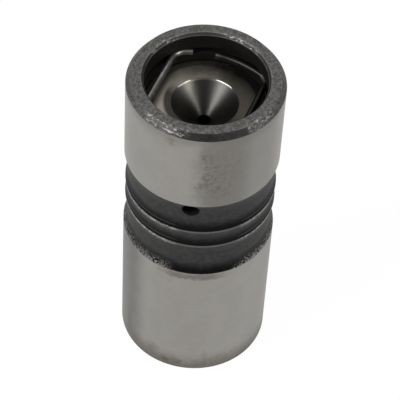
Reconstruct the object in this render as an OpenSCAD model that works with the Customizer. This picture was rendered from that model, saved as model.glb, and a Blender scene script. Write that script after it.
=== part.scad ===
// Hydraulic valve lifter with a flat foot.
// Origin at the centre of the foot's face, +Z along the axis towards the pushrod.
// The oil feed hole faces -Y.

/* [Lifter body] */
// Diameter of the two ground lands that slide in the engine block
land_dia = 21.387; // [20.6:0.001:24]
// Length from the foot's face to the rim
body_len = 50.8; // [47:0.1:62]
// Diameter of the bore that the plunger slides in
bore_dia = 16.58; // [16:0.01:17]
// Thickness of the foot below the spring chamber
foot_thk = 5.5; // [4:0.1:7.5]
// Diameter of the spring chamber below the bore
chamber_dia = 15.2; // [13:0.1:15.8]
// Bevel in the bottom corner of the spring chamber
chamber_bevel = 0.8; // [0.2:0.1:1.2]
// Bevel round the foot's edge
foot_bevel = 0.25; // [0.1:0.05:0.6]
// Width of the bevel outside the rim
rim_bevel_w = 0.69; // [0.3:0.01:0.9]
// Height of the bevel outside the rim
rim_bevel_h = 0.95; // [0.3:0.01:1.5]
// Width of the bevel inside the mouth
mouth_bevel_w = 0.34; // [0.1:0.01:0.6]
// Height of the bevel inside the mouth
mouth_bevel_h = 0.44; // [0.1:0.01:1]

/* [Oil waist] */
// Length of the upper land with its rim
upper_land_len = 13.77; // [11:0.01:16]
// Length of the neck that brings oil round to the feed hole
neck_len = 5.58; // [5:0.01:8]
// Length of the narrow groove between the two ridges
ridge_groove_len = 3; // [2:0.05:5]
// Length of the groove below the lower ridge
low_groove_len = 5.85; // [5:0.01:8]
// Depth of the neck and of the low groove below the lands
waist_depth = 0.49; // [0.3:0.01:0.7]
// Depth of the two ridges below the lands
ridge_depth = 0.19; // [0.05:0.01:0.25]
// Width of the worn flat on top of each ridge
ridge_flat = 0.3; // [0.1:0.05:0.6]
// Radius of the form tool that turns the grooves
groove_tool_r = 5; // [3:0.1:7]
// Diameter of the oil feed hole
feed_dia = 2.45; // [1.5:0.05:2.5]
// Distance from the upper land's edge down to the feed hole's centre
feed_drop = 1.28; // [1.28:0.01:3]

/* [Plunger] */
// Radial clearance between the plunger and the bore
plunger_fit = 0.03; // [0.01:0.01:0.08]
// Travel from rest to the step at the bottom of the bore
plunger_travel = 4.1; // [2:0.1:4.5]
// Diameter of the oil chamber inside the plunger
plunger_bore_dia = 11.2; // [8:0.1:12]
// Thickness of the plunger's floor above the check valve
plunger_floor = 3; // [2:0.1:6]
// Bevel on the plunger's outer edges
plunger_bevel = 0.3; // [0.1:0.05:0.6]
// Depth of the oil groove round the plunger
plunger_groove_depth = 0.7; // [0.3:0.05:0.9]
// Reach of the oil groove below the feed hole's centre
plunger_groove_below = 1.55; // [1:0.05:4]
// Length of the plunger's land above the oil groove
plunger_top_land = 1.48; // [1.2:0.01:2]
// Diameter of the two holes from the groove to the oil chamber
plunger_hole_dia = 2; // [1:0.1:2.5]
// Diameter of the hole that the check ball closes
valve_hole_dia = 4; // [3:0.1:4.4]
// Width of the check ball's cone at the underside of the floor
valve_cone_dia = 5.6; // [5:0.1:6]

/* [Plunger spring] */
// Length as fitted, from the foot to the check retainer
spring_len = 11.6; // [10.8:0.1:13]
// Diameter of the wire
spring_wire = 1.1; // [0.6:0.05:1.2]
// Diameter of the coil, wire centre to wire centre
spring_dia = 10; // [9.4:0.1:10.6]
// Number of working turns between the closed ends
spring_turns = 4.5; // [3:0.5:5]

/* [Check valve] */
// Diameter of the check ball
ball_dia = 6.35; // [5.8:0.05:6.4]
// Clearance between the check ball and its cone
ball_seat_gap = 0.03; // [0.01:0.01:0.1]
// Radial clearance between the check ball and its retainer
ball_side_gap = 0.25; // [0.1:0.05:0.3]
// Thickness of the retainer's sheet
retainer_sheet = 0.5; // [0.3:0.05:0.7]
// Diameter of the retainer's flange
flange_dia = 12.2; // [11.8:0.1:13]
// Radial clearance round the flange in the plunger's recess
flange_fit = 0.05; // [0.02:0.01:0.2]
// Depth of the plunger's recess for the flange and the spring
recess_depth = 1.2; // [0.8:0.1:2]
// Diameter of the windows in the retainer's wall
window_dia = 2.6; // [1.5:0.1:3]
// Number of windows in the retainer's wall
window_count = 3; // [2:1:5]
// Diameter of the hole in the retainer's floor
retainer_hole_dia = 1.5; // [0.8:0.1:2]
// Length of the check spring as fitted
check_spring_len = 1.8; // [1.5:0.1:2.4]
// Diameter of the check spring's wire
check_wire = 0.3; // [0.2:0.05:0.35]
// Diameter of the check spring's coil, wire centre to wire centre
check_spring_dia = 2.8; // [2.4:0.1:3.4]
// Number of working turns of the check spring
check_turns = 1.5; // [1:0.5:2]

/* [Metering disc] */
// Thickness of the disc
disc_thk = 0.5; // [0.3:0.05:0.8]
// Diameter of the disc
disc_dia = 13.2; // [12.6:0.1:13.6]
// Clearance round and above the disc in the plunger's top
disc_fit = 0.05; // [0.02:0.01:0.15]
// Diameter of the oil notches in the disc's edge
notch_dia = 2.4; // [1:0.1:3]
// Number of oil notches
notch_count = 3; // [2:1:6]

/* [Pushrod seat] */
// Radial clearance between the seat and the bore
seat_fit = 0.06; // [0.03:0.01:0.15]
// Height of the seat
seat_h = 5.2; // [4.6:0.1:6.5]
// Width of the cone that takes the pushrod's ball
cup_dia = 9.14; // [8:0.01:11]
// Depth of the cone down to the oil hole
cup_depth = 3.35; // [2.8:0.01:3.6]
// Diameter of the oil hole at the bottom of the cone
cup_hole_dia = 1.77; // [1:0.01:2.5]
// Diameter of the flat ring that bears on the clip
flat_dia = 13.9; // [13.2:0.1:15]
// Height of the bevel outside the flat ring
shoulder_h = 0.35; // [0.2:0.05:1.5]
// Diameter of the hollow below the seat
hollow_dia = 10.4; // [6:0.1:12]
// Height of the hollow below the seat
hollow_h = 1; // [0.5:0.1:1.2]
// Drop of the seat below the clip while the plunger stands bled down
seat_drop = 1.07; // [0.02:0.01:1.5]

/* [Retaining clip] */
// Diameter of the wire
clip_wire = 0.9; // [0.6:0.05:1]
// Distance from the rim down to the wire's centre
clip_drop = 3.2; // [2.6:0.05:5]
// Distance that the wire's centre lies outside the bore's wall
clip_bite = 0.24; // [0:0.01:0.4]
// Clearance round the wire in its groove
clip_fit = 0.05; // [0.03:0.01:0.15]
// Distance from the axis to the two straight sides
clip_flat = 6.65; // [6.2:0.01:6.9]
// Radius of the four bends
clip_bend_r = 1.9; // [0.8:0.05:2.4]
// Direction of the open end round the axis
clip_turn = 77; // [0:1:359]
// Radius of the two rounded ends
clip_end_r = 14; // [9:0.1:18]
// Distance of the long arm's tip past the clip's middle
clip_long_tip = 1.4; // [0:0.1:2.5]
// Distance of the short arm's tip from the clip's middle
clip_short_tip = 4.5; // [3.5:0.1:5]

/* [Hidden] */
$fn = 96;
over = 1;            // how far a cutting shape stands out of the solid
same_place = 0.001;  // two stations of a wire nearer than this are one
clip_step = 7.5;     // angle between the stations of the clip's wire
tip_left = 0.25;     // share of the wire that grinding leaves at a spring's tip
coil_gap = 0.15;     // gap above a spring's closed turn, as a share of the wire
spring_steps = 20;   // stations in a turn of a spring's wire
spring_sides = 8;    // sides of the plunger spring's wire
check_sides = 6;     // sides of the check spring's wire
clip_sides = 12;     // sides of the clip's wire

land_r = land_dia / 2;
bore_r = bore_dia / 2;
chamber_r = chamber_dia / 2;
waist_r = land_r - waist_depth;
ridge_r = land_r - ridge_depth;

// Heights of the oil waist, from the top down
neck_top = body_len - upper_land_len;
upper_ridge = neck_top - neck_len;
lower_ridge = upper_ridge - ridge_groove_len;
waist_bottom = lower_ridge - low_groove_len;
feed_z = neck_top - feed_drop;

// Heights of the clip and of the seat that bears on it
clip_z = body_len - clip_drop;
clip_r = bore_r + clip_bite;
groove_half = clip_wire / 2 + clip_fit;
seat_top = clip_z - clip_wire / 2 - seat_drop;
seat_bottom = seat_top - seat_h;
seat_r = bore_r - seat_fit;

// Heights of the valve stack, from the foot up
spring_top = foot_thk + spring_len;
recess_top = spring_top + retainer_sheet;
plunger_bottom = recess_top - recess_depth;
plunger_top = seat_bottom;
plunger_r = bore_r - plunger_fit;
chamber_floor = recess_top + plunger_floor;
step_z = plunger_bottom - plunger_travel;
disc_z = plunger_top - disc_fit - disc_thk;
disc_r = disc_dia / 2;
oil_groove_low = feed_z - plunger_groove_below;
oil_groove_high = plunger_top - plunger_top_land;

// The ball touches a 45 degree cone in the underside of the plunger's floor
ball_r = ball_dia / 2;
valve_r = valve_hole_dia / 2;
cone_r = valve_cone_dia / 2;
ball_z = recess_top + cone_r - (ball_r + ball_seat_gap) * sqrt(2);

// The check spring stands in the retainer and carries the ball on the inner edge of its top turn
check_r = check_spring_dia / 2;
check_top = ball_z - sqrt(pow(ball_r + ball_seat_gap, 2) - pow(check_r - check_wire / 2, 2));
retainer_floor = check_top - check_spring_len;
retainer_r = ball_r + ball_side_gap;
retainer_bottom = retainer_floor - retainer_sheet;

// Half length of an arc of the form tool that cuts to a depth
function tool_reach(depth) = sqrt(2 * groove_tool_r * depth - depth * depth);

// Round wire along a path of [x, y, z, direction of its outer side], cut flat below low and above high
module swept_wire(path, wire, sides, low, high) {
    points = [
        for (at = path)
            for (j = [0:sides - 1])
                let (out = wire / 2 * cos(360 * j / sides),
                     up = at[2] + wire / 2 * sin(360 * j / sides))
                [at[0] + out * cos(at[3]), at[1] + out * sin(at[3]), min(max(up, low), high)]
    ];
    skin = [
        for (i = [0:len(path) - 2])
            for (j = [0:sides - 1])
                let (a = i * sides + j,
                     b = i * sides + (j + 1) % sides)
                each [[a, b, b + sides], [a, b + sides, a + sides]]
    ];
    // Each end is a fan from a corner that the flat cut leaves alone
    first = floor(sides / 4);
    last = len(points) - sides;
    tip = [
        for (k = [1:sides - 2])
            [first, (first + k + 1) % sides, (first + k) % sides]
    ];
    opposite = first + floor(sides / 2);
    tail = [
        for (k = [1:sides - 2])
            [last + opposite, last + (opposite + k) % sides, last + (opposite + k + 1) % sides]
    ];
    polyhedron(points, concat(tip, skin, tail), convexity = 10);
}

// Compression spring wound upwards, with closed ends ground flat at both heights
module coil_spring(coil_r, wire, low, high, turns, sides) {
    end_pitch = (1 + coil_gap) * wire;
    rise = high - low + 2 * (1 - tip_left) * wire - 2 * end_pitch - wire;
    count = ceil((turns + 2) * spring_steps);
    function wire_z(t) =
        low + (tip_left - 0.5) * wire
        + end_pitch * min(t, 1)
        + rise / turns * min(max(t - 1, 0), turns)
        + end_pitch * max(t - 1 - turns, 0);
    path = [
        for (i = [0:count])
            let (t = (turns + 2) * i / count)
            [coil_r * cos(360 * t), coil_r * sin(360 * t), wire_z(t), 360 * t]
    ];
    swept_wire(path, wire, sides, low, high);
}

// Section of one waist groove with an arc at each end
module groove_section(low, low_r, high, high_r) {
    low_z = low + tool_reach(low_r - waist_r);
    high_z = high - tool_reach(high_r - waist_r);
    translate([waist_r + groove_tool_r, low_z])
        circle(groove_tool_r);
    translate([waist_r + groove_tool_r, high_z])
        circle(groove_tool_r);
    translate([waist_r, low_z])
        square([groove_tool_r, high_z - low_z]);
}

// Turned waist: the neck, the narrow groove and the low groove, with a ridge between each two
module waist_cut() {
    half = ridge_groove_len / 2 - ridge_flat / 2;
    rotate_extrude() {
        groove_section(upper_ridge + ridge_flat / 2, ridge_r, neck_top, land_r);
        groove_section(waist_bottom, land_r, lower_ridge - ridge_flat / 2, ridge_r);
        translate([ridge_r + sqrt(pow(groove_tool_r, 2) - pow(half, 2)), (upper_ridge + lower_ridge) / 2])
            circle(groove_tool_r);
        translate([ridge_r, waist_bottom + tool_reach(land_r - waist_r)])
            square([groove_tool_r, neck_top - waist_bottom - 2 * tool_reach(land_r - waist_r)]);
    }
}

// Hardened body, turned and bored from the rim, with its lands and its foot ground
module lifter_body() color("darkgray")
    difference() {
        rotate_extrude()
            polygon([
                [0, 0],
                [land_r - foot_bevel, 0],
                [land_r, foot_bevel],
                [land_r, body_len - rim_bevel_h],
                [land_r - rim_bevel_w, body_len],
                [0, body_len],
            ]);
        waist_cut();
        rotate_extrude()
            polygon([
                [0, foot_thk],
                [chamber_r - chamber_bevel, foot_thk],
                [chamber_r, foot_thk + chamber_bevel],
                [chamber_r, step_z],
                [bore_r, step_z],
                [bore_r, body_len - mouth_bevel_h],
                [bore_r + mouth_bevel_w, body_len],
                [bore_r + mouth_bevel_w, body_len + over],
                [0, body_len + over],
            ]);
        translate([0, 0, clip_z - groove_half])
            cylinder(r = clip_r + groove_half, h = 2 * groove_half);
        translate([0, 0, feed_z])
            rotate([90, 0, 0])
                cylinder(d = feed_dia, h = land_r + over);
    }

// Return spring between the foot and the check retainer's flange
module plunger_spring() color("dimgray")
    coil_spring(spring_dia / 2, spring_wire, foot_thk, spring_top, spring_turns, spring_sides);

// Light spring that holds the check ball against its cone
module check_spring() color("gray")
    coil_spring(check_r, check_wire, retainer_floor, check_top, check_turns, check_sides);

// Bearing ball that the check spring holds against the plunger's cone
module check_ball() color("silver")
    translate([0, 0, ball_z])
        sphere(ball_r);

// Cup pressed from sheet, with a flange that the plunger spring holds in the plunger's recess
module check_retainer() color("slategray")
    difference() {
        union() {
            translate([0, 0, retainer_bottom])
                cylinder(r = retainer_r + retainer_sheet, h = recess_top - retainer_bottom);
            translate([0, 0, spring_top])
                cylinder(d = flange_dia, h = retainer_sheet);
        }
        translate([0, 0, retainer_floor])
            cylinder(r = retainer_r, h = recess_top - retainer_floor + over);
        translate([0, 0, retainer_bottom - over])
            cylinder(d = retainer_hole_dia, h = retainer_sheet + 2 * over);
        for (i = [0:window_count - 1])
            rotate(360 / window_count * i)
                translate([0, 0, (retainer_floor + spring_top) / 2])
                    rotate([90, 0, 0])
                        cylinder(d = window_dia, h = retainer_r + retainer_sheet + over);
    }

// Hollow piston ground to the bore, with an oil groove outside and the check ball's cone below
module plunger() color("lightgray")
    difference() {
        rotate_extrude()
            polygon([
                [0, plunger_bottom],
                [plunger_r - plunger_bevel, plunger_bottom],
                [plunger_r, plunger_bottom + plunger_bevel],
                [plunger_r, oil_groove_low],
                [plunger_r - plunger_groove_depth, oil_groove_low],
                [plunger_r - plunger_groove_depth, oil_groove_high],
                [plunger_r, oil_groove_high],
                [plunger_r, plunger_top - plunger_bevel],
                [plunger_r - plunger_bevel, plunger_top],
                [0, plunger_top],
            ]);
        translate([0, 0, chamber_floor])
            cylinder(d = plunger_bore_dia, h = plunger_top - chamber_floor + over);
        translate([0, 0, disc_z])
            cylinder(r = disc_r + disc_fit, h = plunger_top - disc_z + over);
        translate([0, 0, plunger_bottom - over])
            cylinder(r = flange_dia / 2 + flange_fit, h = recess_depth + over);
        rotate_extrude()
            polygon([
                [0, recess_top - over],
                [cone_r, recess_top - over],
                [cone_r, recess_top],
                [valve_r, recess_top + cone_r - valve_r],
                [valve_r, chamber_floor + over],
                [0, chamber_floor + over],
            ]);
        translate([-plunger_r - over, 0, (oil_groove_low + oil_groove_high) / 2])
            rotate([0, 90, 0])
                cylinder(d = plunger_hole_dia, h = 2 * (plunger_r + over));
    }

// Loose disc that meters the oil that goes up to the pushrod
module metering_disc() color("gainsboro")
    difference() {
        translate([0, 0, disc_z])
            cylinder(r = disc_r, h = disc_thk);
        for (i = [0:notch_count - 1])
            rotate(360 / notch_count * i)
                translate([disc_r, 0, disc_z - over])
                    cylinder(d = notch_dia, h = disc_thk + 2 * over);
    }

// Turned seat with a cone for the pushrod's ball and an oil hole through its middle
module pushrod_seat() color("rosybrown")
    rotate_extrude()
        polygon([
            [cup_hole_dia / 2, seat_bottom + hollow_h],
            [hollow_dia / 2, seat_bottom + hollow_h],
            [hollow_dia / 2, seat_bottom],
            [seat_r, seat_bottom],
            [seat_r, seat_top - shoulder_h],
            [flat_dia / 2, seat_top],
            [cup_dia / 2, seat_top],
            [cup_hole_dia / 2, seat_top - cup_depth],
        ]);

// Spring wire with two straight sides across the seat, whose bends are sprung into the bore's groove
module retaining_clip() color("darkslategray") {
    bend_v = clip_flat - clip_bend_r;
    bend_u = sqrt(pow(clip_r - clip_bend_r, 2) - pow(bend_v, 2));
    bend_at = asin(bend_v / (clip_end_r - clip_bend_r));
    end_u = bend_u - (clip_end_r - clip_bend_r) * cos(bend_at);
    // Each arc is [centre, centre, radius, start, end], and a straight side joins bend to bend
    arcs = [
        [end_u, 0, clip_end_r, asin(clip_short_tip / clip_end_r), bend_at],
        [bend_u, bend_v, clip_bend_r, bend_at, 90],
        [-bend_u, bend_v, clip_bend_r, 90, 180 - bend_at],
        [-end_u, 0, clip_end_r, 180 - bend_at, 180 + bend_at],
        [-bend_u, -bend_v, clip_bend_r, 180 + bend_at, 270],
        [bend_u, -bend_v, clip_bend_r, 270, 360 - bend_at],
        [end_u, 0, clip_end_r, 360 - bend_at, 360 + asin(clip_long_tip / clip_end_r)],
    ];
    stations = [
        for (arc = arcs)
            let (count = ceil((arc[4] - arc[3]) / clip_step))
            for (k = [0:count])
                let (at = arc[3] + (arc[4] - arc[3]) * k / count)
                [arc[0] + arc[2] * cos(at), arc[1] + arc[2] * sin(at), clip_z, at]
    ];
    // Arcs that run into each other share a station, which is kept once
    path = [
        for (i = [0:len(stations) - 1])
            if (i == 0 || norm(stations[i] - stations[max(i - 1, 0)]) > same_place)
                stations[i]
    ];
    rotate(clip_turn)
        swept_wire(path, clip_wire, clip_sides, clip_z - clip_wire, clip_z + clip_wire);
}

lifter_body();
plunger_spring();
check_spring();
check_ball();
check_retainer();
plunger();
metering_disc();
pushrod_seat();
retaining_clip();
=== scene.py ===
"""Looks of a hydraulic valve lifter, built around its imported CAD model.

The scene is in metres, with the foot on the origin. Sizes below are in millimetres unless they
are multiplied by mm.
"""

import math

import bmesh
import bpy
from mathutils import Matrix, Quaternion, Vector


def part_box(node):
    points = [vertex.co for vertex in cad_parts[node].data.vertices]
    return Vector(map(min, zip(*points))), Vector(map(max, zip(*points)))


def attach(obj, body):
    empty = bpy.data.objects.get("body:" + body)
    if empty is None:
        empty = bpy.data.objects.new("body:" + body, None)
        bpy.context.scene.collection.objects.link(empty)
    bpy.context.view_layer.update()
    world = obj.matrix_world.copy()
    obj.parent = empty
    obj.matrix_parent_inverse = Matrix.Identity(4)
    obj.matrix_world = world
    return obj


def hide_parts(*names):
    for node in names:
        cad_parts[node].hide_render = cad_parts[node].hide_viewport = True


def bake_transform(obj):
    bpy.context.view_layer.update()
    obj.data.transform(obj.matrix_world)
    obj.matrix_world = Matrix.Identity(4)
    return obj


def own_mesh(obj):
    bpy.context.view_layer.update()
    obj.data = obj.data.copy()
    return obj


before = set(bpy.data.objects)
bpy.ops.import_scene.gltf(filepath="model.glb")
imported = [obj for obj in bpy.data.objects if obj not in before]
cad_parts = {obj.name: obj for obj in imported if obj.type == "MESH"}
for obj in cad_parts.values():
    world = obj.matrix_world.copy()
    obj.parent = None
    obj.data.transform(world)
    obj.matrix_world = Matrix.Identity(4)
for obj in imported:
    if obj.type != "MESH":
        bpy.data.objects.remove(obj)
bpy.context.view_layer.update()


# Lifter body: one long cup turned from hardened steel bar, with its foot at the bottom.
# The whole cup is phosphated dark, then the two lands and the foot are ground bright
# to run in the engine block and on the cam. The waist between the lands carries oil.
mm = 0.001
body_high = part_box("lifter_body")[1]
land_r = body_high.x / mm
body_len = body_high.z / mm
clip_low, clip_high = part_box("retaining_clip")
clip_z = (clip_low.z + clip_high.z) / 2 / mm
clip_wire = (clip_high.z - clip_low.z) / mm

bore_r = 8.29
chamber_r = 7.6
chamber_bevel = 0.8
foot_thk = 5.5
foot_bevel = 0.25
rim_bevel_w = 0.69
rim_bevel_h = 0.95
mouth_bevel_w = 0.34
mouth_bevel_h = 0.44
step_z = 12.3
groove_r = 9.03
clip_fit = 0.05
upper_land_len = 13.77
neck_len = 5.58
ridge_groove_len = 3
low_groove_len = 5.85
waist_depth = 0.49
ridge_depth = 0.19
ridge_flat = 0.3
tool_r = 5
feed_r = 1.225
feed_drop = 1.28
drill_from = 7
drill_to = 12
edge = 0.06
lathe_steps = 192
drill_steps = 64

groove_half = clip_wire / 2 + clip_fit
rim_low = body_len - rim_bevel_h
neck_top = body_len - upper_land_len
upper_ridge = neck_top - neck_len
lower_ridge = upper_ridge - ridge_groove_len
waist_bottom = lower_ridge - low_groove_len
waist_r = land_r - waist_depth
ridge_r = land_r - ridge_depth
feed_z = neck_top - feed_drop


def rounded(corners, steps=4):
    """Points of a section whose corners (radius, height, rounding) are rounded off."""
    points = []
    for i, (r, z, rounding) in enumerate(corners):
        corner = Vector((r, z))
        if not rounding:
            points.append(corner)
            continue
        back = (Vector(corners[i - 1][:2]) - corner).normalized()
        on = (Vector(corners[(i + 1) % len(corners)][:2]) - corner).normalized()
        half = back.angle(on) / 2
        centre = corner + (back + on).normalized() * rounding / math.sin(half)
        start = corner + back * rounding / math.tan(half) - centre
        end = corner + on * rounding / math.tan(half) - centre
        points += [centre + rounding * start.slerp(end, k / steps) for k in range(steps + 1)]
    return points


def turned(name, section, steps=lathe_steps):
    """Mesh of a closed section in millimetres, turned about the Z axis."""
    work = bmesh.new()
    rings = []
    for r, z in section:
        count = steps if r > 1e-6 else 1
        rings.append([
            work.verts.new((r * mm * math.cos(2 * math.pi * k / steps),
                            r * mm * math.sin(2 * math.pi * k / steps), z * mm))
            for k in range(count)
        ])
    for one, two in zip(rings, rings[1:] + rings[:1]):
        if len(one) == 1 and len(two) == 1:
            continue
        for k in range(steps):
            ring = [one[k % len(one)], one[(k + 1) % len(one)],
                    two[(k + 1) % len(two)], two[k % len(two)]]
            work.faces.new(list(dict.fromkeys(ring)))
    bmesh.ops.remove_doubles(work, verts=work.verts, dist=1e-8)
    bmesh.ops.recalc_face_normals(work, faces=work.faces)
    mesh = bpy.data.meshes.new(name)
    work.to_mesh(mesh)
    work.free()
    return mesh


def placed(name, mesh):
    """Object of that mesh at the origin."""
    piece = bpy.data.objects.new(name, mesh)
    bpy.context.scene.collection.objects.link(piece)
    return piece


def coated(piece, finish):
    """Gives a piece its finish."""
    piece.data.materials.clear()
    piece.data.materials.append(finish)
    return piece


def settled(piece):
    """Turns the piece's modifiers into plain mesh."""
    view = bpy.context.evaluated_depsgraph_get()
    mesh = bpy.data.meshes.new_from_object(piece.evaluated_get(view))
    piece.modifiers.clear()
    piece.data = mesh
    return piece


def crisp(piece, angle=35):
    """Smooth faces whose flats stay flat up to their rounded edges."""
    piece.data.shade_smooth()
    piece.data.set_sharp_from_angle(angle=math.radians(angle))
    normals = piece.modifiers.new("flat faces", "WEIGHTED_NORMAL")
    normals.keep_sharp = True
    return settled(piece)


def groove(low, low_r, high, high_r, steps=8):
    """Section of one waist groove, with an arc of the form tool at each end."""
    points = []
    for end_z, end_r, way in ((low, low_r, 1), (high, high_r, -1)):
        depth = end_r - waist_r
        reach = math.sqrt(2 * tool_r * depth - depth ** 2)
        arc = []
        for k in range(steps + 1):
            along = reach * k / steps
            lift = tool_r - math.sqrt(tool_r ** 2 - (reach - along) ** 2)
            arc.append((waist_r + lift, end_z + way * along, edge if k == 0 else 0))
        points += arc if way > 0 else arc[::-1]
    return points


half_groove = (upper_ridge - lower_ridge - ridge_flat) / 2
sag = math.sqrt(tool_r ** 2 - half_groove ** 2)
narrow_groove = [
    (ridge_r + sag - math.sqrt(tool_r ** 2 - at ** 2), (upper_ridge + lower_ridge) / 2 + at, 0)
    for at in (half_groove * k / 6 for k in range(-5, 6))
]
body_section = rounded(
    [(0, 0, 0),
     (land_r - foot_bevel, 0, edge),
     (land_r, foot_bevel, edge)]
    + groove(waist_bottom, land_r, lower_ridge - ridge_flat / 2, ridge_r)
    + [(ridge_r, lower_ridge + ridge_flat / 2, edge)]
    + narrow_groove
    + [(ridge_r, upper_ridge - ridge_flat / 2, edge)]
    + groove(upper_ridge + ridge_flat / 2, ridge_r, neck_top, land_r)
    + [(land_r, rim_low, 2 * edge),
       (land_r - rim_bevel_w, body_len, 2 * edge),
       (bore_r + mouth_bevel_w, body_len, edge),
       (bore_r, body_len - mouth_bevel_h, edge),
       (bore_r, clip_z + groove_half, edge),
       (groove_r, clip_z + groove_half, edge),
       (groove_r, clip_z - groove_half, edge),
       (bore_r, clip_z - groove_half, edge),
       (bore_r, step_z, edge),
       (chamber_r, step_z, edge),
       (chamber_r, foot_thk + chamber_bevel, edge),
       (chamber_r - chamber_bevel, foot_thk, edge),
       (0, foot_thk, 0)])

body = placed("body", turned("body", body_section))
drill = placed("drill", turned("drill", rounded(
    [(0, drill_from, 0), (feed_r, drill_from, 0), (feed_r, drill_to, 0), (0, drill_to, 0)]),
    drill_steps))
drill.data.transform(Matrix.Translation((0, 0, feed_z * mm)) @ Matrix.Rotation(math.pi / 2, 4, "X"))
hole = body.modifiers.new("feed hole", "BOOLEAN")
hole.object = drill
hole.operation = "DIFFERENCE"
hole.solver = "EXACT"
settled(body)
bpy.data.objects.remove(drill)
crisp(body)


class Amount:
    """A value on a node's socket. Arithmetic on it adds Math nodes."""

    def __init__(self, recipe, socket):
        self.recipe = recipe
        self.socket = socket

    def out(self, name):
        """Another output of the same node."""
        return Amount(self.recipe, self.socket.node.outputs[name])

    def __add__(self, other):
        return self.recipe.math("ADD", self, other)

    def __sub__(self, other):
        return self.recipe.math("SUBTRACT", self, other)

    def __rsub__(self, other):
        return self.recipe.math("SUBTRACT", other, self)

    def __mul__(self, other):
        return self.recipe.math("MULTIPLY", self, other)

    def __truediv__(self, other):
        return self.recipe.math("DIVIDE", self, other)

    def __pow__(self, other):
        return self.recipe.math("POWER", self, other)

    __radd__ = __add__
    __rmul__ = __mul__


class Recipe:
    """The nodes of one finish or of one shape."""

    def __init__(self, tree):
        self.tree = tree

    def node(self, kind, settings=None, sockets=None, output=None):
        """One node: its settings, then the value or link of each socket by identifier."""
        node = self.tree.nodes.new(kind)
        for name, value in (settings or {}).items():
            setattr(node, name, value)
        for key, value in (sockets or {}).items():
            socket = next(s for s in node.inputs if s.identifier == key)
            if isinstance(value, Amount):
                self.tree.links.new(value.socket, socket)
            else:
                socket.default_value = value
        outputs = [s for s in node.outputs if output in (None, s.identifier)]
        return Amount(self, outputs[0]) if outputs else None

    def math(self, operation, first, second=0.0):
        return self.node("ShaderNodeMath", {"operation": operation},
                         {"Value": first, "Value_001": second})

    def rise(self, value, low, high):
        """0 below low and 1 above high, with a soft step between."""
        return self.node("ShaderNodeMapRange", {"interpolation_type": "SMOOTHSTEP"},
                         {"Value": value, "From Min": low, "From Max": high})

    def window(self, value, low, high, soft):
        """1 between low and high, fading out over soft on both sides."""
        return self.rise(value, low - soft, low) * (1 - self.rise(value, high, high + soft))

    def mix(self, share, first, second):
        """Colour that goes from first to second as share goes from 0 to 1."""
        first, second = (
            c if isinstance(c, Amount) else (*c, 1.0) for c in (first, second))
        return self.node("ShaderNodeMix", {"data_type": "RGBA"},
                         {"Factor_Float": share, "A_Color": first, "B_Color": second},
                         "Result_Color")

    def place(self):
        """Place on the piece, in millimetres."""
        metres = self.node("ShaderNodeTexCoord", output="Object")
        return self.node("ShaderNodeVectorMath", {"operation": "SCALE"},
                         {"Vector": metres, "Scale": 1 / mm})

    def noise(self, place, per_mm, detail=3.0, stretch=None, shift=None):
        """Cloudy pattern from 0 to 1, so many clouds to the millimetre."""
        if stretch:
            place = self.node("ShaderNodeVectorMath", {"operation": "MULTIPLY"},
                              {"Vector": place, "Vector_001": stretch})
        if shift:
            place = self.node("ShaderNodeVectorMath", {"operation": "ADD"},
                              {"Vector": place, "Vector_001": shift})
        return self.node("ShaderNodeTexNoise", {},
                         {"Vector": place, "Scale": per_mm, "Detail": detail, "Roughness": 0.6})

    def bump(self, height, depth_mm, strength=1.0):
        """Fine relief of that depth, as a normal."""
        return self.node("ShaderNodeBump", {},
                         {"Height": height, "Distance": depth_mm * mm, "Strength": strength})

    def surface(self, sockets):
        """The finish itself."""
        shader = self.node("ShaderNodeBsdfPrincipled", {}, sockets)
        self.node("ShaderNodeOutputMaterial", {}, {"Surface": shader})


def new_finish(name):
    """Empty finish of that name, and the recipe to fill it with."""
    finish = bpy.data.materials.new(name)
    finish.use_nodes = True
    finish.node_tree.nodes.clear()
    return finish, Recipe(finish.node_tree)


ground_steel = (0.360, 0.346, 0.322)
# Darker steel for stains, and for the painted shade down the right of the upper land.
stain_and_shade_steel = (0.205, 0.196, 0.180)
shaded_steel = (0.150, 0.144, 0.136)
oil_brown = (0.150, 0.112, 0.082)
soot_brown = (0.060, 0.052, 0.043)
foot_brown = (0.172, 0.156, 0.134)
phosphate = (0.020, 0.020, 0.020)
phosphate_grey = (0.045, 0.045, 0.043)
oil_and_shade_black = (0.007, 0.007, 0.007)
rim_dark = (0.075, 0.073, 0.070)
rim_grey = (0.215, 0.211, 0.202)
worn_edge = (0.42, 0.41, 0.39)
bare_edge = (0.50, 0.485, 0.46)
bore_oil_and_shade = (0.012, 0.011, 0.010)

body_finish, r = new_finish("ground_and_phosphated_steel")
place = r.place()
x = r.node("ShaderNodeSeparateXYZ", {}, {"Vector": place})
y, z = x.out("Y"), x.out("Z")
radius = (x * x + y * y) ** 0.5
# Turn round the axis in radians, from the feed hole at the front and rising to the right
turn = r.math("ARCTAN2", x, 0 - y)

grain = r.noise(place, 5.5, 3.0)
mottle = r.noise(place, 1.3, 4.0)
cloud = r.noise(place, 0.30, 3.0)
lines = r.noise(place, 1.0, 2.0, stretch=(0.35, 0.35, 14.0))
specks = r.rise(r.noise(place, 4.2, 2.0, shift=(7.0, 3.0, 5.0)), 0.50, 0.64)
ragged = 2.4 * (mottle - 0.5)
broken = r.rise(r.noise(place, 2.1, 4.0, shift=(3.0, 9.0, 1.0)), 0.40, 0.62)


def blot(turned, high, wide, tall):
    """Ragged blot on a land, by turn from the front and height, with half its size each way."""
    across = (turn - turned) * (land_r / wide)
    up = (z - high) / tall
    return 1 - r.rise((across * across + up * up) ** 0.5 + ragged, 0.2, 1.3)


def blots(spots):
    """Several blots as one."""
    share = blot(*spots[0])
    for spot in spots[1:]:
        share = r.math("MAXIMUM", share, blot(*spot))
    return share
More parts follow.
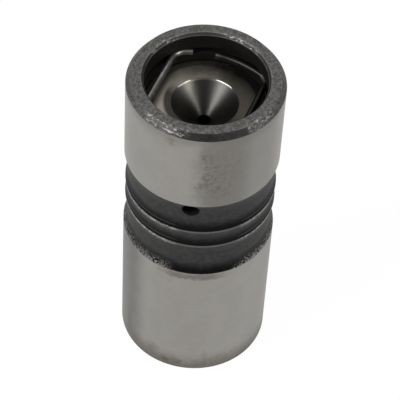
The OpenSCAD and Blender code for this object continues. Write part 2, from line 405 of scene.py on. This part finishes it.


# Ground lands with faint grinding lines. The upper one has painted shade down its right side and
# smudges, the lower one is stained below its edge, has painted shade down its left, and darkens
# round the foot with brown stain and painted shade.
upper = r.rise(z, neck_top - 1, neck_top)
wavy = turn + 0.30 * (cloud - 0.5) + 0.16 * (mottle - 0.5)
# Painted shade: the right side of the upper land is darkened where it would reflect something
# darker.
right_side_shade = upper * (0.50 * r.window(wavy, 0.22, 0.58, 0.30)
                   + 0.50 * r.window(wavy, 0.30, 1.05, 0.30))
# Painted shade: the left margin of the lower land is darkened where it would reflect something
# darker.
left_shade = (1 - upper) * r.window(turn + 0.2 * (cloud - 0.5), -1.45, -0.92, 0.38)
below_rim = upper * r.rise(z + 1.2 * (cloud - 0.5), rim_low - 1.9, rim_low - 0.2)
# Brown darkening towards the foot: partly oil stain, partly painted shade where the floor meets the
# foot.
foot_stain_and_shade = 1 - r.rise(z + 3 * (cloud - 0.5) + 1.5 * (mottle - 0.5), 0.6, 4.0)
smudges = broken * blots([
    (0.16, 46.2, 0.8, 2.2), (0.19, 42.8, 1.0, 2.6), (0.10, 41.0, 0.7, 1.2), (0.28, 40.4, 1.0, 1.0)])
rust = broken * blots([(0.36, 43.2, 2.6, 5.0), (0.39, 39.3, 1.9, 1.2), (-0.30, 48.7, 0.9, 0.8)])
brown = blots([(-0.45, 3.3, 1.3, 1.0), (0.29, 2.2, 0.6, 2.4), (-0.10, 1.2, 1.6, 0.7)])
soot = blots([(-0.95, 3.6, 0.6, 4.6), (-0.25, 1.4, 0.6, 0.6), (-0.06, 1.8, 0.8, 0.5)])
lip_stain = r.window(z + 1.2 * (mottle - 0.5), waist_bottom - 0.95, waist_bottom - 0.45, 0.55) * (
    r.window(turn + 0.4 * (mottle - 0.5), -0.15, 0.32, 0.32))
ground = r.mix(0.88 * right_side_shade, ground_steel, stain_and_shade_steel)
ground = r.mix(0.45 * below_rim, ground, stain_and_shade_steel)
ground = r.mix(0.85 * left_shade, ground, shaded_steel)
ground = r.mix(0.12 * r.rise(cloud, 0.38, 0.62), ground, stain_and_shade_steel)
ground = r.mix(0.95 * foot_stain_and_shade, ground, foot_brown)
ground = r.mix(0.40 * smudges, ground, soot_brown)
ground = r.mix(0.42 * rust, ground, oil_brown)
ground = r.mix(0.30 * brown, ground, oil_brown)
ground = r.mix(0.80 * lip_stain, ground, foot_brown)
ground = r.mix(0.36 * soot, ground, soot_brown)
ground = r.mix(0.07 * r.rise(lines, 0.35, 0.75), ground, worn_edge)

# Phosphate coat, dark and grainy, darkened nearly black just above each ledge of the waist: partly
# pooled oil, partly painted shade in the lower part of each groove
coat = r.mix(r.rise(mottle + 0.3 * (grain - 0.5), 0.30, 0.75), phosphate, phosphate_grey)
oil_and_shade_above_ledges = 0
for ledge in (upper_ridge, lower_ridge, waist_bottom):
    oil_and_shade_above_ledges = oil_and_shade_above_ledges + (1 - r.rise(z + 0.5 * (mottle - 0.5), ledge + 0.4, ledge + 2.4)) * (
        r.rise(z, ledge + 0.02, ledge + 0.15))
coat = r.mix(0.85 * oil_and_shade_above_ledges, coat, oil_and_shade_black)

# The coat is rubbed off the ridges and edges, least at the front; the bright band that fades down
# below each ridge is partly a painted highlight
sides = 1 - r.window(turn + 0.30 * (cloud - 0.5), -0.12, 0.62, 0.20)
chips = r.noise(place, 3.6, 3.0, shift=(2.0, 6.0, 4.0))
speckled = r.rise(chips + 0.3 * (mottle - 0.5), 0.42, 0.60)
for ridge in (upper_ridge, lower_ridge):
    crest = r.window(z, ridge - 0.16, ridge + 0.12, 0.07)
    below = r.rise(z, ridge - 0.95, ridge - 0.15) * (1 - r.rise(z, ridge, ridge + 0.1))
    above = r.window(z, ridge + 0.60, ridge + 0.66, 0.07)
    coat = r.mix(crest * (0.26 + 0.74 * sides * speckled), coat, worn_edge)
    # Painted highlight, partly wear: a bright band fading down below each ridge, stronger at the
    # sides.
    coat = r.mix(0.75 * below * sides * speckled, coat, worn_edge)
    coat = r.mix(0.16 * above * sides, coat, worn_edge)
flare = sides * speckled * (1 - r.rise(z, waist_bottom + 0.2, waist_bottom + 1.5))
coat = r.mix(0.55 * flare, coat, worn_edge)

# Rim: mottled grey on top, with a line each side of the mouth bevel and knocks on its edges
rim = r.rise(z, body_len - 0.10, body_len - 0.03)
pitted = r.noise(place, 3.0, 4.0, shift=(1.0, 5.0, 2.0))
coat = r.mix(rim, coat, r.mix(r.rise(pitted, 0.30, 0.68), rim_dark, rim_grey))
top_r = land_r - rim_bevel_w
mouth_r = bore_r + mouth_bevel_w
bevel = r.rise(z, rim_low - 0.1, rim_low) * r.rise(radius, top_r - 0.1, top_r + 0.1)
coat = r.mix(0.30 * bevel * sides * (0.4 + 0.6 * speckled), coat, worn_edge)
lip = r.window(radius, bore_r + 0.06, mouth_r - 0.06, 0.04) * (1 - rim)
coat = r.mix(0.5 * lip, coat, rim_dark)
lip_lines = (r.window(radius, bore_r + 0.01, bore_r + 0.04, 0.03)
             + r.window(radius, mouth_r - 0.03, mouth_r + 0.03, 0.04))
mouth_low = body_len - mouth_bevel_h
lip_lines = lip_lines * r.rise(z, mouth_low - 0.05, mouth_low + 0.05)
coat = r.mix(0.30 * lip_lines, coat, worn_edge)
rim_edge = r.rise(z, rim_low - 0.05, rim_low + 0.05) * (
    r.window(radius, top_r - 0.20, land_r - 0.20, 0.15)
    + r.window(radius, bore_r + 0.10, mouth_r + 0.25, 0.1))
round_rim = r.node("ShaderNodeCombineXYZ", {}, {
    "X": 2.4 * radius, "Y": 0.9 * land_r * turn, "Z": 2.4 * z})
scuffs = r.rise(r.noise(round_rim, 1.5, 3.0), 0.53, 0.66)
outer = r.rise(radius, bore_r + 0.9, bore_r + 1.1)
outer_knocks = r.window(turn, -0.64, -0.16, 0.12) + r.window(turn, 0.76, 1.08, 0.10)
inner_knocks = r.window(turn, 2.36, 2.95, 0.12) + r.window(turn, -2.46, -1.95, 0.12)
knocks = 0.03 + 0.97 * (outer * outer_knocks + (1 - outer) * inner_knocks)
coat = r.mix(rim_edge * scuffs * knocks, coat, bare_edge)

# The lands end sharply at the front, and raggedly where the coat is worn beside them
nibble = 0.45 * sides * (specks - 0.25)
land = r.math("MAXIMUM",
              1 - r.rise(z - nibble, waist_bottom - 0.03, waist_bottom + 0.05),
              r.window(z, neck_top, rim_low + 0.3 * nibble, 0.05))
land = land * r.rise(radius, land_r - 0.5, land_r - 0.4)
foot_face = 1 - r.rise(z, 0.02, 0.07)
bright = r.math("MAXIMUM", land, foot_face)
colour = r.mix(bright, coat, ground)

# The bore, its groove and the drilled hole are painted nearly black: oil, and painted shade in
# these recesses
inside = (1 - r.rise(radius, bore_r + 0.85, bore_r + 0.95)) * (
    1 - r.rise(z, mouth_low - 0.25, mouth_low + 0.02))
from_hole = (x * x + (z - feed_z) * (z - feed_z)) ** 0.5
drilled = (1 - r.rise(from_hole, feed_r - 0.01, feed_r + 0.02)) * (1 - r.rise(y, -1.0, 0.0))
black = r.math("MAXIMUM", inside * (1 - foot_face), drilled)
colour = r.mix(black, colour, bore_oil_and_shade)

relief = 0.25 * lines * bright + grain * (1 - bright)
r.surface({
    "Base Color": colour,
    "Metallic": 0.50 + 0.50 * r.math("MAXIMUM", bright, oil_and_shade_above_ledges),
    "Roughness": 0.56 - 0.20 * bright + 0.12 * (mottle - 0.5) + 0.06 * (grain - 0.5),
    "Normal": r.bump(relief, 0.02, 0.6),
})
coated(body, body_finish)
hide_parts("lifter_body")
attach(body, "lifter_body")


# Plunger spring: hard drawn wire wound into an open coil, with its closed ends ground flat.
# It stands on the foot inside the body and pushes the plunger up through the check retainer,
# so it shortens as the plunger goes down.
def shape_tree(name, sizes):
    """Empty Geometry Nodes tree with a named input for each size, and its recipe."""
    tree = bpy.data.node_groups.new(name, "GeometryNodeTree")
    for size, kind in sizes.items():
        tree.interface.new_socket(size, in_out="INPUT", socket_type=kind)
    tree.interface.new_socket("Shape", in_out="OUTPUT", socket_type="NodeSocketGeometry")
    recipe = Recipe(tree)
    return tree, recipe, recipe.node("NodeGroupInput")


def drawn_wire(recipe, path, wire, sides):
    """Round wire along a path."""
    profile = recipe.node("GeometryNodeCurvePrimitiveCircle", {"mode": "RADIUS"},
                          {"Resolution": sides, "Radius": wire / 2}, "Curve")
    return recipe.node("GeometryNodeCurveToMesh", {},
                       {"Curve": path, "Profile Curve": profile, "Fill Caps": True})


def finished_shape(recipe, shape, finish):
    """The tree's end: real faces, with their finish."""
    real = recipe.node("GeometryNodeRealizeInstances", {}, {"Geometry": shape})
    dressed = recipe.node("GeometryNodeSetMaterial", {}, {"Geometry": real, "Material": finish})
    out = recipe.tree.nodes.new("NodeGroupOutput")
    recipe.tree.links.new(dressed.socket, out.inputs[0])


def shaped(name, tree, sizes, path=None):
    """Piece that a tree makes from these sizes, and from a path where it takes one."""
    piece = placed(name, path or bpy.data.meshes.new(name))
    maker = piece.modifiers.new("shape", "NODES")
    maker.node_group = tree
    for item in tree.interface.items_tree:
        if item.name in sizes:
            maker[item.identifier] = sizes[item.name]
    settled(piece)
    piece.data.shade_smooth()
    piece.data.set_sharp_from_angle(angle=math.radians(40))
    return piece


spring_tree, g, given = shape_tree("wound_spring", {
    "Coil diameter": "NodeSocketFloat",
    "Wire": "NodeSocketFloat",
    "Low": "NodeSocketFloat",
    "High": "NodeSocketFloat",
    "Turns": "NodeSocketFloat",
    "Stations": "NodeSocketInt",
    "Sides": "NodeSocketInt",
    "Finish": "NodeSocketMaterial",
})
wire, low, high, turns = (given.out(n) for n in ("Wire", "Low", "High", "Turns"))
tip_left = 0.25
coil_gap = 0.15
end_turns = 2
straight = g.node("GeometryNodeCurvePrimitiveLine", {"mode": "POINTS"})
stations = g.node("GeometryNodeResampleCurve", {},
                  {"Curve": straight, "Count": given.out("Stations")})
wound = g.node("GeometryNodeSplineParameter") * (turns + end_turns)
end_pitch = wire * (1 + coil_gap)
climb = high - low + 2 * (1 - tip_left) * wire - 2 * end_pitch - wire
working = g.math("MINIMUM", g.math("MAXIMUM", wound - 1, 0.0), turns)
height = (low + (tip_left - 0.5) * wire + end_pitch * g.math("MINIMUM", wound, 1.0)
          + climb / turns * working
          + end_pitch * g.math("MAXIMUM", wound - 1 - turns, 0.0))
coil_r = given.out("Coil diameter") / 2
angle = wound * (2 * math.pi)
helix = g.node("ShaderNodeCombineXYZ", {}, {
    "X": coil_r * g.math("COSINE", angle), "Y": coil_r * g.math("SINE", angle), "Z": height})
path = g.node("GeometryNodeSetPosition", {}, {"Geometry": stations, "Position": helix})
coil = drawn_wire(g, path, wire, given.out("Sides"))
point = g.node("ShaderNodeSeparateXYZ", {}, {"Vector": g.node("GeometryNodeInputPosition")})
flush = g.node("ShaderNodeCombineXYZ", {}, {
    "X": point, "Y": point.out("Y"),
    "Z": g.math("MINIMUM", g.math("MAXIMUM", point.out("Z"), low), high)})
ground_coil = g.node("GeometryNodeSetPosition", {}, {"Geometry": coil, "Position": flush})
finished_shape(g, ground_coil, given.out("Finish"))

spring_steel = (0.20, 0.19, 0.175)
spring_dark = (0.10, 0.095, 0.09)
spring_finish, r = new_finish("drawn_spring_wire")
place = r.place()
oxide = r.noise(place, 1.1, 4.0)
drawing = r.noise(place, 5.0, 2.0)
r.surface({
    "Base Color": r.mix(r.rise(oxide, 0.35, 0.7), spring_steel, spring_dark),
    "Metallic": 1.0,
    "Roughness": 0.30 + 0.20 * oxide,
    "Normal": r.bump(drawing, 0.01, 0.5),
})

spring_low, spring_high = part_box("plunger_spring")
spring_dia = 10
spring_wire = 1.1
spring_turns = 4.5
spring_sides = 14
turn_stations = 32
plunger_spring = shaped("plunger_return_spring", spring_tree, {
    "Coil diameter": spring_dia * mm,
    "Wire": spring_wire * mm,
    "Low": spring_low.z,
    "High": spring_high.z,
    "Turns": spring_turns,
    "Stations": int(turn_stations * (spring_turns + end_turns)) + 1,
    "Sides": spring_sides,
    "Finish": spring_finish,
})
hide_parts("plunger_spring")
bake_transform(plunger_spring)


# Check spring: a light coil of fine wire that holds the check ball up against its cone.
# It stands in the check retainer, and shortens when the ball is pushed off its seat.
check_low, check_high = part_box("check_spring")
check_dia = 2.8
check_wire = 0.3
check_turns = 1.5
check_sides = 10
check_spring = shaped("check_valve_spring", spring_tree, {
    "Coil diameter": check_dia * mm,
    "Wire": check_wire * mm,
    "Low": check_low.z,
    "High": check_high.z,
    "Turns": check_turns,
    "Stations": int(turn_stations * (check_turns + end_turns)) + 1,
    "Sides": check_sides,
    "Finish": spring_finish,
})
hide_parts("check_spring")
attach(check_spring, "plunger")
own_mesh(check_spring)


# Check ball: a bearing ball, ground and lapped to a mirror, that lets oil into the chamber
# below the plunger and keeps it there.
def coat_node(node, finish):
    """Gives a CAD solid its finish."""
    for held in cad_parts[node].material_slots:
        held.material = finish


ball_steel = (0.52, 0.51, 0.49)
ball_film = (0.42, 0.39, 0.34)
ball_finish, r = new_finish("lapped_ball_steel")
place = r.place()
film = r.noise(place, 0.5, 3.0)
scratches = r.noise(place, 2.0, 3.0, stretch=(1.0, 6.0, 1.0))
r.surface({
    "Base Color": r.mix(film, ball_steel, ball_film),
    "Metallic": 1.0,
    "Roughness": 0.10 + 0.10 * film,
    "Normal": r.bump(scratches, 0.002, 0.4),
})
coat_node("check_ball", ball_finish)


# Check retainer: a small cup pressed from steel sheet, with windows for the oil and a flange
# that the plunger spring holds in the underside of the plunger.
sheet_steel = (0.30, 0.29, 0.28)
sheet_tint = (0.19, 0.17, 0.15)
retainer_finish, r = new_finish("pressed_sheet_steel")
place = r.place()
tint = r.noise(place, 0.7, 4.0)
drag = r.noise(place, 1.0, 3.0, stretch=(8.0, 8.0, 0.6))
r.surface({
    "Base Color": r.mix(tint, sheet_steel, sheet_tint),
    "Metallic": 1.0,
    "Roughness": 0.30 + 0.15 * tint,
    "Normal": r.bump(drag, 0.006, 0.5),
})
coat_node("check_retainer", retainer_finish)


# Plunger: a hollow piston turned from steel and ground to the bore, with an oil groove
# round it. It carries the pushrod seat, and rests on the oil below it.
plunger_steel = (0.37, 0.355, 0.33)
plunger_film = (0.29, 0.268, 0.235)
plunger_finish, r = new_finish("ground_plunger_steel")
place = r.place()
film = r.noise(place, 0.4, 4.0)
lines = r.noise(place, 1.0, 2.0, stretch=(0.35, 0.35, 14.0))
r.surface({
    "Base Color": r.mix(r.rise(film, 0.25, 0.85), plunger_steel, plunger_film),
    "Metallic": 1.0,
    "Roughness": 0.26 + 0.10 * film,
    "Normal": r.bump(lines, 0.005, 0.5),
})
coat_node("plunger", plunger_finish)


# Metering disc: a thin stamped disc with notched edges that lies loose between the plunger
# and the seat, and meters the oil that goes up the pushrod.
disc_steel = (0.20, 0.19, 0.175)
disc_film = (0.12, 0.105, 0.085)
disc_finish, r = new_finish("stamped_disc_steel")
place = r.place()
film = r.noise(place, 0.6, 4.0)
rolling = r.noise(place, 1.0, 2.0, stretch=(0.4, 9.0, 1.0))
r.surface({
    "Base Color": r.mix(film, disc_steel, disc_film),
    "Metallic": 1.0,
    "Roughness": 0.28 + 0.15 * film,
    "Normal": r.bump(rolling, 0.004, 0.5),
})
coat_node("metering_disc", disc_finish)


# Pushrod seat: turned from steel and hardened, with a cone for the pushrod's ball and an oil
# hole through its middle. It rests on the plunger, below the clip, and is brown with old oil, with
# painted light and shade over it.
seat_low, seat_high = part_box("pushrod_seat")
seat_r = seat_high.x / mm
seat_top = seat_high.z / mm
seat_bottom = seat_low.z / mm
cup_r = 4.57
cup_hole_r = 0.885
cup_depth = 3.35
flat_r = 6.95
shoulder_h = 0.35
hollow_r = 5.2
hollow_h = 1
seat = placed("seat", turned("seat", rounded([
    (cup_hole_r, seat_bottom + hollow_h, edge),
    (hollow_r, seat_bottom + hollow_h, edge),
    (hollow_r, seat_bottom, edge),
    (seat_r, seat_bottom, edge),
    (seat_r, seat_top - shoulder_h, 2 * edge),
    (flat_r, seat_top, 3 * edge),
    (cup_r, seat_top, 2 * edge),
    (cup_hole_r, seat_top - cup_depth, edge),
])))
crisp(seat, 60)

seat_lit_steel = (0.480, 0.441, 0.374)
seat_shaded_brown = (0.105, 0.096, 0.079)
ring_shade = (0.036, 0.034, 0.029)
cone_lit = (0.160, 0.152, 0.132)
cone_grey = (0.080, 0.079, 0.074)
cone_dark = (0.070, 0.068, 0.061)
lip_highlight_steel = (0.75, 0.73, 0.69)
worn_ring_r = 5.8
seat_finish, r = new_finish("oil_browned_seat_steel")
place = r.place()
x = r.node("ShaderNodeSeparateXYZ", {}, {"Vector": place})
y, z = x.out("Y"), x.out("Z")
radius = (x * x + y * y) ** 0.5
turn = r.math("ARCTAN2", x, 0 - y)
rings = r.node("ShaderNodeTexNoise", {"noise_dimensions": "1D"},
               {"W": radius, "Scale": 9.0, "Detail": 3.0, "Roughness": 0.7})
film = r.noise(place, 0.7, 4.0)
bowl = 1 - r.rise(radius, cup_r - 0.25, cup_r - 0.02)
# Painted light and shade: the flat is lighter to the left and towards the back, darker to the right
# and front.
lit_left_and_back = r.rise(0.03 * y - 0.12 * x + 0.9 * (film - 0.5) + 0.3 * (rings - 0.5), -0.35, 0.75)
colour = r.mix(lit_left_and_back, seat_shaded_brown, seat_lit_steel)
# Painted shade: a dark crescent inside the worn ring, on the front and left of the flat.
inner_ring_shade = (1 - r.rise(radius, worn_ring_r - 0.45, worn_ring_r + 0.05)) * (
    1 - r.rise(y + 0.5 * x, -2.0, 1.5))
colour = r.mix(0.90 * inner_ring_shade, colour, ring_shade)
# Painted light and shade: the cone is lighter on its far left, darker in the middle, a little
# lighter on the right.
cone = r.mix(r.rise(x, -2.0, 1.5), cone_dark, cone_grey)
cone = r.mix(r.rise(0 - x, 1.6, 3.4), cone, cone_lit)
colour = r.mix(bowl, colour, cone)
# Painted shade darkens the lip of the cup, and two painted highlights light it at the back left and
# back right.
lip = r.window(radius, cup_r - 0.07, cup_r + 0.01, 0.04) * (
    r.rise(z, seat_top - 0.4, seat_top - 0.1))
lip_highlights = r.window(turn, -2.50, -2.10, 0.08) + r.window(turn, 2.42, 2.90, 0.08)
colour = r.mix(0.8 * lip, colour, seat_shaded_brown)
colour = r.mix(lip * lip_highlights, colour, lip_highlight_steel)
r.surface({
    "Base Color": colour,
    "Metallic": 1.0,
    "Roughness": 0.38 + 0.10 * film - 0.07 * bowl,
    "Normal": r.bump(rings, 0.006, 0.5),
})
coated(seat, seat_finish)
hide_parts("pushrod_seat")
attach(seat, "plunger")


# Retaining clip: one length of spring wire bent with two straight sides. It is sprung into the
# groove below the rim, and its straight sides cross the seat and hold the plunger in.
clip_tree, g, given = shape_tree("bent_wire", {
    "Path": "NodeSocketGeometry",
    "Wire": "NodeSocketFloat",
    "Sides": "NodeSocketInt",
    "Finish": "NodeSocketMaterial",
})
path = g.node("GeometryNodeMeshToCurve", {}, {"Mesh": given})
bent = drawn_wire(g, path, given.out("Wire"), given.out("Sides"))
finished_shape(g, bent, given.out("Finish"))

wire_bare = (0.47, 0.455, 0.43)
wire_oxide = (0.28, 0.27, 0.25)
wire_dark = (0.035, 0.034, 0.032)
highlight_x, highlight_y = 7.3, 4.0
clip_finish, r = new_finish("darkened_spring_wire")
place = r.place()
oxide = r.noise(place, 0.9, 4.0)
drawing = r.noise(place, 6.0, 2.0)
x = r.node("ShaderNodeSeparateXYZ", {}, {"Vector": place})
y = x.out("Y")
# Painted highlight: the darkening is left off a small patch at the right corner of the wire.
aside, along = x - highlight_x, y - highlight_y
corner = 1 - r.rise((aside * aside + along * along) ** 0.5, 0.3, 1.0)
# The wire is darker towards the right side.
darker_right = r.rise(x + 2 * (oxide - 0.5), -3.0, 1.5) * (1 - corner)
rubbed_wire = r.mix(r.rise(oxide, 0.35, 0.65), wire_bare, wire_oxide)
r.surface({
    "Base Color": r.mix(darker_right, rubbed_wire, wire_dark),
    "Metallic": 1.0,
    "Roughness": 0.28 + 0.20 * oxide,
    "Normal": r.bump(drawing, 0.008, 0.5),
})

clip_r = 8.53
clip_flat = 6.65
clip_bend_r = 1.9
clip_end_r = 14
clip_long_tip = 1.4
clip_short_tip = 4.5
clip_turn = 77
clip_sides = 16
clip_step = 4
same_place = 0.01
bend_v = clip_flat - clip_bend_r
bend_u = math.sqrt((clip_r - clip_bend_r) ** 2 - bend_v ** 2)
bend_at = math.degrees(math.asin(bend_v / (clip_end_r - clip_bend_r)))
end_u = bend_u - (clip_end_r - clip_bend_r) * math.cos(math.radians(bend_at))
short_at = math.degrees(math.asin(clip_short_tip / clip_end_r))
long_at = math.degrees(math.asin(clip_long_tip / clip_end_r))
bends = [
    (end_u, 0, clip_end_r, short_at, bend_at),
    (bend_u, bend_v, clip_bend_r, bend_at, 90),
    (-bend_u, bend_v, clip_bend_r, 90, 180 - bend_at),
    (-end_u, 0, clip_end_r, 180 - bend_at, 180 + bend_at),
    (-bend_u, -bend_v, clip_bend_r, 180 + bend_at, 270),
    (bend_u, -bend_v, clip_bend_r, 270, 360 - bend_at),
    (end_u, 0, clip_end_r, 360 - bend_at, 360 + long_at),
]
points = []
for centre_u, centre_v, bend_r, start, end in bends:
    count = math.ceil((end - start) / clip_step)
    for k in range(count + 1):
        at = math.radians(start + (end - start) * k / count)
        point = Vector((centre_u + bend_r * math.cos(at),
                        centre_v + bend_r * math.sin(at), clip_z))
        if not points or (point - points[-1]).length > same_place:
            points.append(point)
path = bpy.data.meshes.new("clip")
path.from_pydata(points, [(k, k + 1) for k in range(len(points) - 1)], [])
path.transform(Matrix.Scale(mm, 4) @ Matrix.Rotation(math.radians(clip_turn), 4, "Z"))
clip = shaped("clip", clip_tree, {
    "Wire": clip_wire * mm,
    "Sides": clip_sides,
    "Finish": clip_finish,
}, path)
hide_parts("retaining_clip")
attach(clip, "lifter_body")


# Studio: a pale floor that reads white to the eye and in the steel, with the lifter's soft
# shadow on it, two soft lamps in front and a broad dim one behind.
floor_mesh = bpy.data.meshes.new("floor")
floor_half = 3.0
floor_drop = 0.01 * mm
white_to_eye = 0.94
white_in_steel = 0.45
paper_white = (0.86, 0.86, 0.86, 1)
bare_white = (1, 1, 1, 1)
white_glow = 1.03
floor_mesh.from_pydata(
    [(-floor_half, -floor_half, 0), (floor_half, -floor_half, 0),
     (floor_half, floor_half, 0), (-floor_half, floor_half, 0)], [], [(0, 1, 2, 3)])
floor_mesh.transform(Matrix.Translation((0, 0, -floor_drop)))
floor_finish, r = new_finish("pale_floor")
path = r.node("ShaderNodeLightPath", output="Is Camera Ray")
seen = r.math("MAXIMUM", path, path.out("Is Transmission Ray"))
shown = r.math("MAXIMUM", seen * white_to_eye, path.out("Is Glossy Ray") * white_in_steel)
paper = r.node("ShaderNodeBsdfDiffuse", {}, {"Color": paper_white})
white = r.node("ShaderNodeEmission", {}, {"Color": bare_white, "Strength": white_glow})
look = r.node("ShaderNodeMixShader", {},
              {"Fac": shown, "Shader": paper, "Shader_001": white})
r.node("ShaderNodeOutputMaterial", {}, {"Surface": look})
floor = coated(placed("floor", floor_mesh), floor_finish)

view_azimuth = math.radians(6)
view_elevation = math.radians(49.245)
lamp_aim = Vector((0, 0, 30 * mm))


def seen_from(azimuth, elevation):
    """Direction from the lifter, by azimuth from the camera's side and by elevation."""
    turn = view_azimuth + azimuth
    return Vector((math.sin(turn) * math.cos(elevation),
                   -math.cos(turn) * math.cos(elevation), math.sin(elevation)))


def lamp(name, azimuth, elevation, distance, width, height, power):
    """Soft rectangular lamp that faces the lifter."""
    light = bpy.data.lights.new(name, "AREA")
    light.shape = "RECTANGLE"
    light.size, light.size_y = width, height
    light.energy = power
    holder = bpy.data.objects.new(name, light)
    toward = seen_from(math.radians(azimuth), math.radians(elevation))
    holder.location = toward * distance + lamp_aim
    holder.rotation_euler = toward.to_track_quat("Z", "Y").to_euler()
    bpy.context.scene.collection.objects.link(holder)


lamp("left_lamp", azimuth=-60, elevation=38, distance=0.55, width=0.22, height=0.36, power=1.9)
lamp("right_lamp", azimuth=66, elevation=36, distance=0.55, width=0.14, height=0.36, power=1.0)
lamp("back_lamp", azimuth=180, elevation=52, distance=0.60, width=0.50, height=0.50, power=0.5)

world = bpy.data.worlds.new("studio")
bpy.context.scene.world = world
world.use_nodes = True
world.node_tree.nodes.clear()
r = Recipe(world.node_tree)
room_grey = (0.16, 0.16, 0.16, 1)
room = r.node("ShaderNodeBackground", {}, {"Color": room_grey, "Strength": 1.0})
r.node("ShaderNodeOutputWorld", {}, {"Surface": room})

look_at = Vector((0.11 * mm, 0.01 * mm, 26.08 * mm))
view_distance = 265.32 * mm
view_roll = math.radians(3.4514)
lens_len = 168.75
sensor_w = 36.0
camera_data = bpy.data.cameras.new("camera")
camera_data.sensor_width = sensor_w
camera_data.lens = lens_len
camera_data.clip_start = 10 * mm
camera = bpy.data.objects.new("camera", camera_data)
back = seen_from(0, view_elevation)
camera.location = look_at + back * view_distance
camera.rotation_mode = "QUATERNION"
camera.rotation_quaternion = back.to_track_quat("Z", "Y") @ Quaternion((0, 0, 1), view_roll)
bpy.context.scene.collection.objects.link(camera)
bpy.context.scene.camera = camera
bpy.context.scene.view_settings.view_transform = "Standard"
